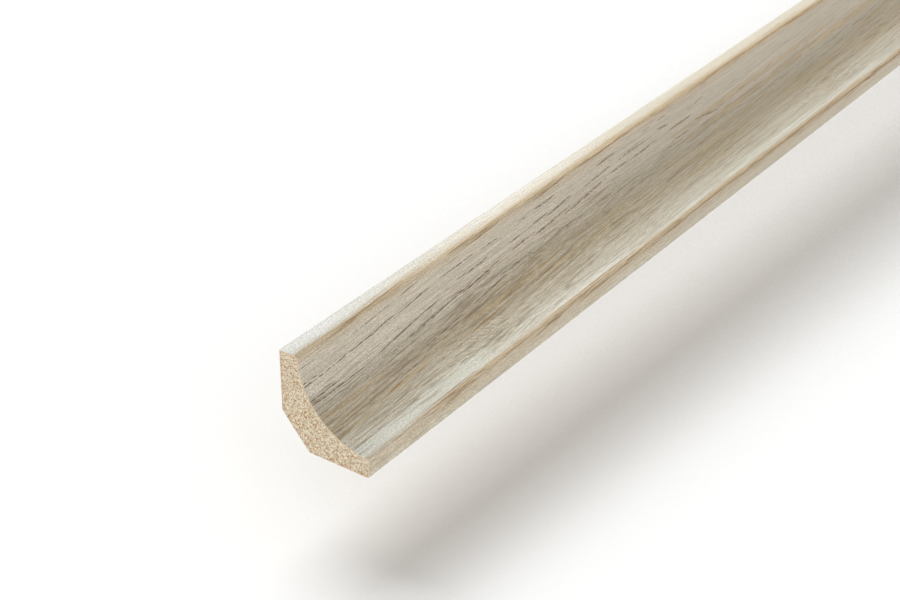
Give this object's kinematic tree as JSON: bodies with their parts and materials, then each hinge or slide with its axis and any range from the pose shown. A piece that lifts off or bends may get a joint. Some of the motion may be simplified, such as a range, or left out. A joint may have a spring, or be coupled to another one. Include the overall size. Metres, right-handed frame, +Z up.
{
  "type": "scotia moulding",
  "caption": "Slim trim stick with a hollow cove face, small square lips and a relieved back corner, laid along a floor's edge to cover the joint with the wall.",
  "frame": {"origin": "middle of the bounding box's underside, on the floor that the stick rests on", "axes": "+X along the stick, +Y towards the wall, so that the cove faces -Y and up, +Z up"},
  "size_m": [2.4, 0.017, 0.017],
  "materials": {
    "fibreboard": "sawn fibreboard, matt",
    "decor_foil": "printed pale limed-oak decor, satin-matt"
  },
  "bodies": {
    "root": {"fibreboard_core": "fibreboard", "decor_foil": "decor_foil"}
  },
  "joints": []
}
